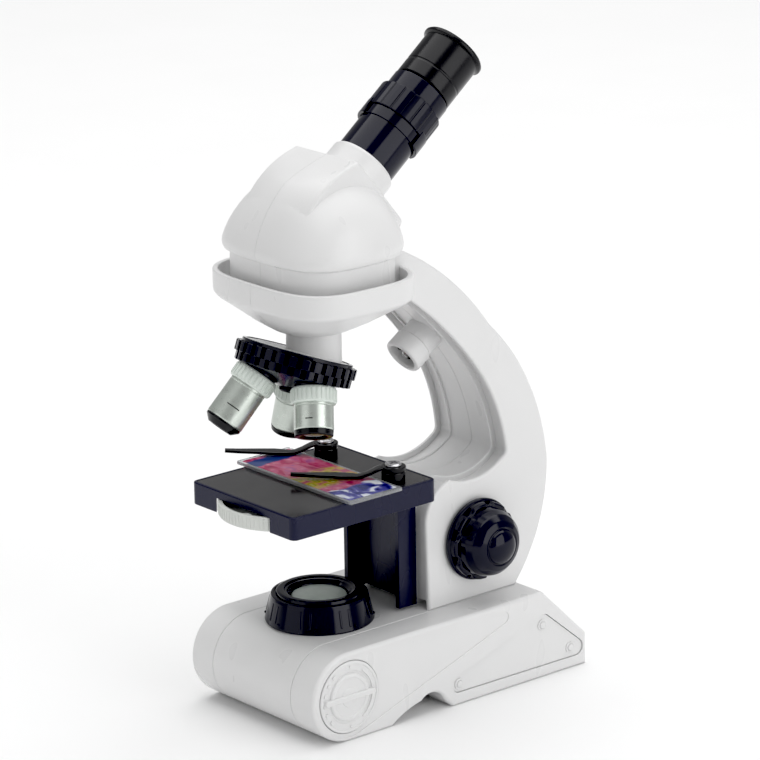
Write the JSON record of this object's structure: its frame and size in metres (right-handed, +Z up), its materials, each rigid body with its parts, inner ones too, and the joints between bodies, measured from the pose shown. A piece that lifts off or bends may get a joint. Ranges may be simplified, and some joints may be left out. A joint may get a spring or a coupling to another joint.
{
  "type": "children's toy microscope",
  "caption": "Toy compound microscope: white curved arm and base, slanted eyepiece, turning nosepiece, geared stage with clips and a lit base.",
  "frame": {"origin": "on the desk, under the optical axis of the nosepiece neck and the stage's light hole", "axes": "+Z up, +Y from the front of the base back to the arm, +X to the side of the right focus knob"},
  "size_m": [0.0712, 0.1251, 0.2172],
  "materials": {
    "white_shell": "semi-gloss",
    "white_door": "semi-gloss",
    "navy_plastic": "gloss",
    "stage_navy": "satin",
    "stage_grey": "matte",
    "black_plastic": "satin",
    "wheel_white": "satin",
    "collar_grey": "satin",
    "silver_barrel": "satin",
    "screw_steel": "brushed",
    "contact_steel": "bright",
    "clear_glass": "polished",
    "frosted_lens": "frosted",
    "slide_plastic": "polished",
    "lamp_clear": "polished",
    "board_green": "matte",
    "cell_skin": "gloss"
  },
  "bodies": {
    "base": {"base_shell": "white_shell", "rail_right": "white_shell", "rail_left": "white_shell", "side_cover_right": "white_shell", "side_cover_left": "white_shell", "side_cover_screws": "white_shell", "bottom_plate": "white_door", "battery_door": "white_door", "base_screws": "screw_steel", "cell_a": "cell_skin", "cell_b": "cell_skin", "cell_contacts": "contact_steel", "cell_springs": "contact_steel", "lamp_board": "board_green", "lamp_led": "lamp_clear", "arm_right": "white_shell", "arm_left": "white_shell", "arm_screws": "screw_steel", "spot_lamp_housing": "white_shell", "spot_lamp_led": "lamp_clear", "nosepiece_neck": "white_shell", "turret_pivot": "screw_steel", "head_right": "white_shell", "head_left": "white_shell", "prism": "clear_glass", "eyepiece_collar": "white_shell", "eyepiece_tube": "navy_plastic"},
    "turret": {"turret_wheel": "navy_plastic", "objective_collar_short": "collar_grey", "objective_barrel_short": "silver_barrel", "objective_tip_short": "black_plastic", "objective_collar_middle": "collar_grey", "objective_barrel_middle": "silver_barrel", "objective_tip_middle": "black_plastic", "objective_collar_long": "collar_grey", "objective_barrel_long": "silver_barrel", "objective_tip_long": "black_plastic", "objective_lenses": "clear_glass"},
    "draw_tube": {"eyepiece_barrel": "black_plastic", "eyepiece_cup": "black_plastic", "eye_lens": "clear_glass"},
    "eyepiece_ring": {"eyepiece_grip": "navy_plastic"},
    "stage": {"stage_tray": "stage_navy", "stage_plate": "stage_grey", "stage_carriage": "stage_navy", "focus_rack": "black_plastic", "clip_screws": "screw_steel", "filter_wheel_screw": "screw_steel"},
    "focus": {"focus_shaft": "navy_plastic", "knob_right": "navy_plastic", "knob_left": "navy_plastic"},
    "light_wheel": {"filter_wheel": "wheel_white"},
    "right_clip": {"clip_right": "black_plastic"},
    "left_clip": {"clip_left": "black_plastic"},
    "slide": {"specimen_slide": "slide_plastic"},
    "illuminator": {"illuminator_ring": "navy_plastic", "illuminator_lens": "frosted_lens"},
    "selector": {"dial_right": "white_shell", "dial_left": "white_shell", "dial_spindle": "white_shell"}
  },
  "joints": [
    {"name": "turret_turn", "type": "hinge", "parent": "base", "child": "turret", "pos_m": [0, 0, 0.1385], "axis": [0, 0.36, 0.933], "continuous": true},
    {"name": "eyepiece_ring_turn", "type": "hinge", "parent": "base", "child": "eyepiece_ring", "pos_m": [0, 0, 0.16], "axis": [0, 0.7771, 0.6293], "range_deg": [0, 119.98]},
    {"name": "draw_tube_slide", "type": "slide", "parent": "base", "child": "draw_tube", "axis": [0, 0.7771, 0.6293], "range_m": [0, 0.012]},
    {"name": "stage_lift", "type": "slide", "parent": "base", "child": "stage", "axis": [0, 0, 1], "range_m": [0, 0.006]},
    {"name": "focus_turn", "type": "hinge", "parent": "base", "child": "focus", "pos_m": [0, 0.0508, 0.0503], "axis": [-1, 0, 0], "range_deg": [0, 85.94]},
    {"name": "light_wheel_turn", "type": "hinge", "parent": "stage", "child": "light_wheel", "pos_m": [0.0005, -0.015, 0.072], "axis": [0, 0, 1], "continuous": true},
    {"name": "right_clip_swing", "type": "hinge", "parent": "stage", "child": "right_clip", "pos_m": [0.0185, 0.0166, 0.0773], "axis": [0, 0, 1], "range_deg": [-5, 60]},
    {"name": "left_clip_swing", "type": "hinge", "parent": "stage", "child": "left_clip", "pos_m": [-0.0155, 0.0166, 0.0773], "axis": [0, 0, 1], "range_deg": [-20, 60]},
    {"name": "slide_shift", "type": "slide", "parent": "stage", "child": "slide", "axis": [1, 0, 0], "range_m": [-0.006, 0.012]},
    {"name": "illuminator_twist", "type": "hinge", "parent": "base", "child": "illuminator", "pos_m": [0, 0, 0.03], "axis": [0, 0, 1], "range_deg": [0, 30]},
    {"name": "selector_turn", "type": "hinge", "parent": "base", "child": "selector", "pos_m": [0, -0.014, 0.015], "axis": [1, 0, 0], "range_deg": [0, 90]}
  ],
  "couplings": [
    {"joint": "eyepiece_ring_turn", "follows": "draw_tube_slide", "rad_per_m": 174.5},
    {"joint": "focus_turn", "follows": "stage_lift", "rad_per_m": 250}
  ]
}
